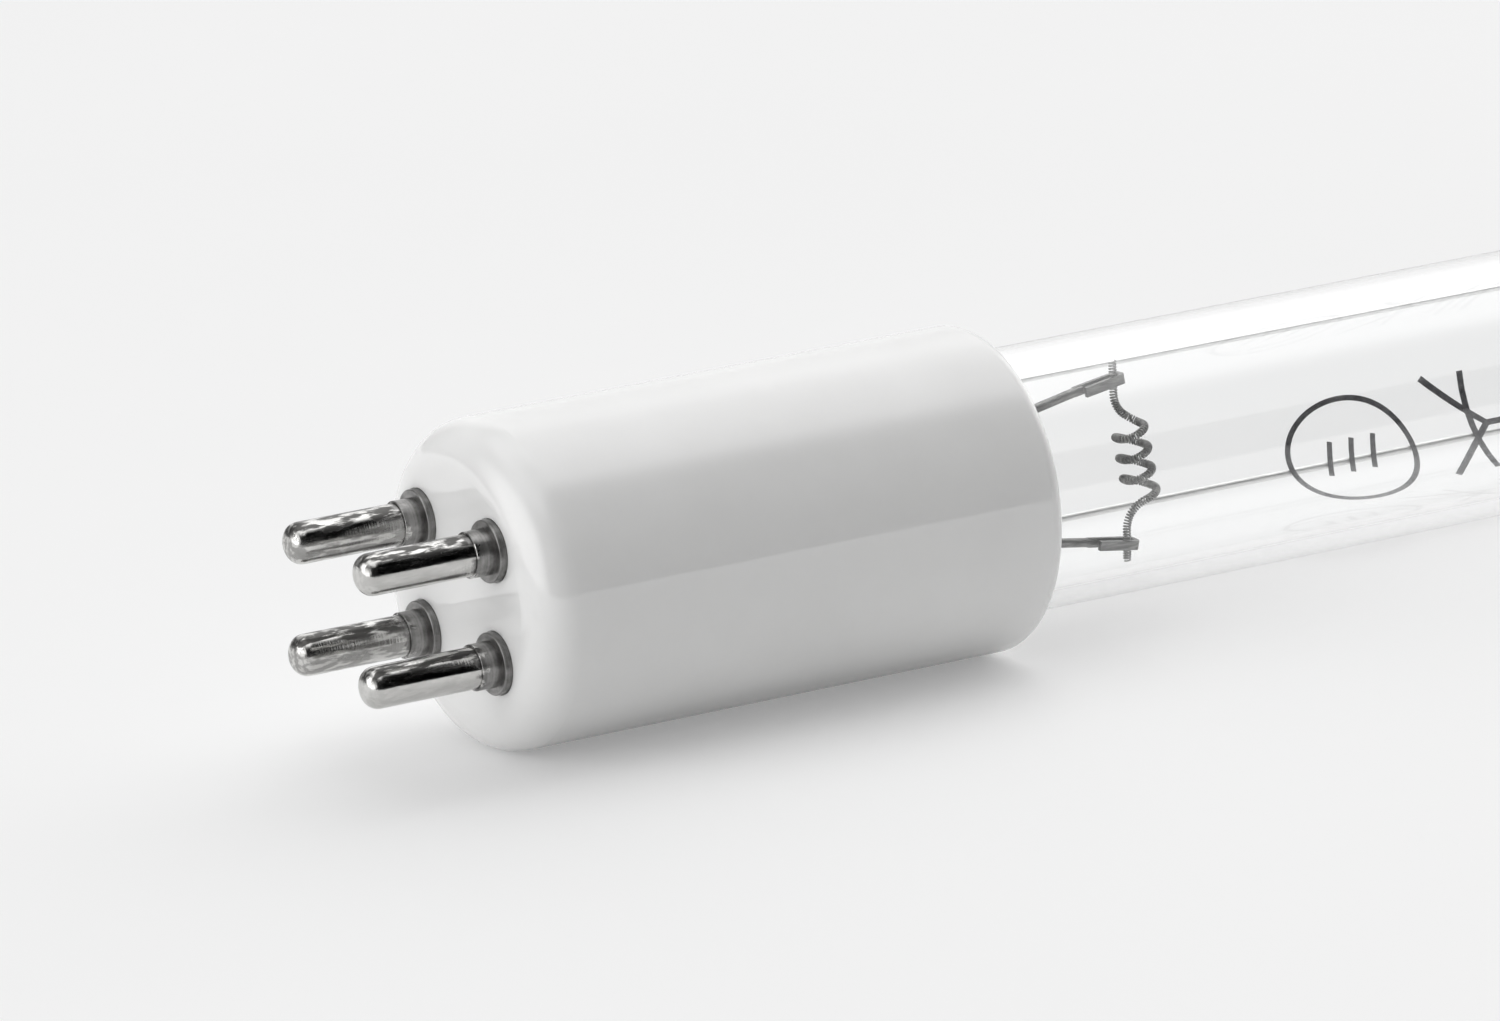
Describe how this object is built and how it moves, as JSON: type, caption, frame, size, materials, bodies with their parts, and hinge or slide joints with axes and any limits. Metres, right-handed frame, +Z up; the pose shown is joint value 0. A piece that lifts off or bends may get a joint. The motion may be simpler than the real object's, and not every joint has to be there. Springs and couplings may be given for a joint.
{
  "type": "germicidal lamp tube",
  "caption": "Straight ultraviolet quartz lamp tube with a white ceramic base carrying contact pins and a closed ceramic cap at the far end.",
  "frame": {"origin": "middle of the flat ceramic face that carries the contact pins", "axes": "+X along the lamp from the pin face to the far cap, +Z up through the upper pins, -Y towards the pin pair that feeds the near filament"},
  "size_m": [0.2203, 0.0186, 0.0186],
  "materials": {
    "glazed_ceramic": "gloss",
    "quartz": "polished",
    "nickel_plated_pin": "polished",
    "cement": "matte",
    "nickel_wire": "satin",
    "molybdenum": "satin",
    "tungsten": "matte",
    "mercury": "polished"
  },
  "bodies": {
    "root": {"ceramic_base": "glazed_ceramic", "end_cap": "glazed_ceramic", "quartz_tube": "quartz", "base_cement": "cement", "cap_cement": "cement", "mercury_drop": "mercury", "front_upper_contact_pin": "nickel_plated_pin", "front_lower_contact_pin": "nickel_plated_pin", "rear_upper_contact_pin": "nickel_plated_pin", "rear_lower_contact_pin": "nickel_plated_pin", "upper_return_wire": "nickel_wire", "upper_splice_sleeve": "nickel_wire", "lower_return_wire": "nickel_wire", "lower_splice_sleeve": "nickel_wire", "base_end_filament": "tungsten", "base_end_upper_molybdenum_foil": "molybdenum", "base_end_upper_inner_lead": "nickel_wire", "base_end_upper_outer_lead": "nickel_wire", "base_end_lower_molybdenum_foil": "molybdenum", "base_end_lower_inner_lead": "nickel_wire", "base_end_lower_outer_lead": "nickel_wire", "cap_end_filament": "tungsten", "cap_end_upper_molybdenum_foil": "molybdenum", "cap_end_upper_inner_lead": "nickel_wire", "cap_end_upper_outer_lead": "nickel_wire", "cap_end_lower_molybdenum_foil": "molybdenum", "cap_end_lower_inner_lead": "nickel_wire", "cap_end_lower_outer_lead": "nickel_wire"}
  },
  "joints": []
}
